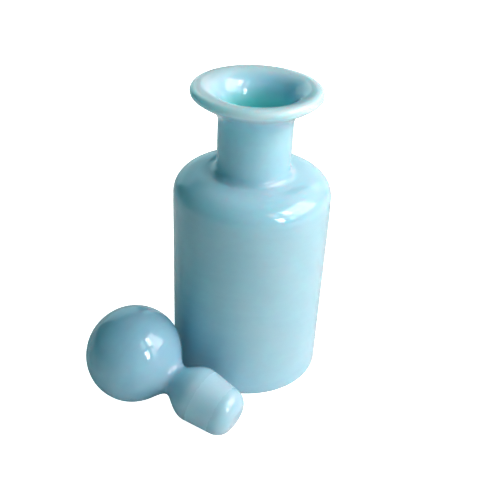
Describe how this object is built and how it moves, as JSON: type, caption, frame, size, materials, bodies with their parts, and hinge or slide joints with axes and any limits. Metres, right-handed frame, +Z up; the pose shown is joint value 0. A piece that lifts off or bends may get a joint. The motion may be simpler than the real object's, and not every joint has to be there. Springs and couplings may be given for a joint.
{
  "type": "scent bottle with ball stopper",
  "caption": "Opaline glass scent bottle with a straight round body, narrow neck and flared lip, its loose ball stopper with a tapered plug lying beside it.",
  "frame": {"origin": "centre of the bottle's flat base, on the surface that the bottle stands on and the stopper lies on", "axes": "+Z up along the bottle's axis, -Y towards the front, +X to the right seen from the front; the stopper lies at the front left"},
  "size_m": [0.0962, 0.0936, 0.1257],
  "materials": {
    "bottle_glass": "opaque opaline, fire polished",
    "stopper_glass": "opaque opaline, polished ball and ground plug"
  },
  "bodies": {
    "bottle": {"bottle": "bottle_glass"},
    "stopper": {"stopper": "stopper_glass"}
  },
  "joints": [
    {"name": "stopper_roll", "type": "hinge", "parent": "bottle", "child": "stopper", "pos_m": [0.03082, -0.07326, 0], "axis": [0, 0, 1], "range_deg": [-2, 286]}
  ]
}
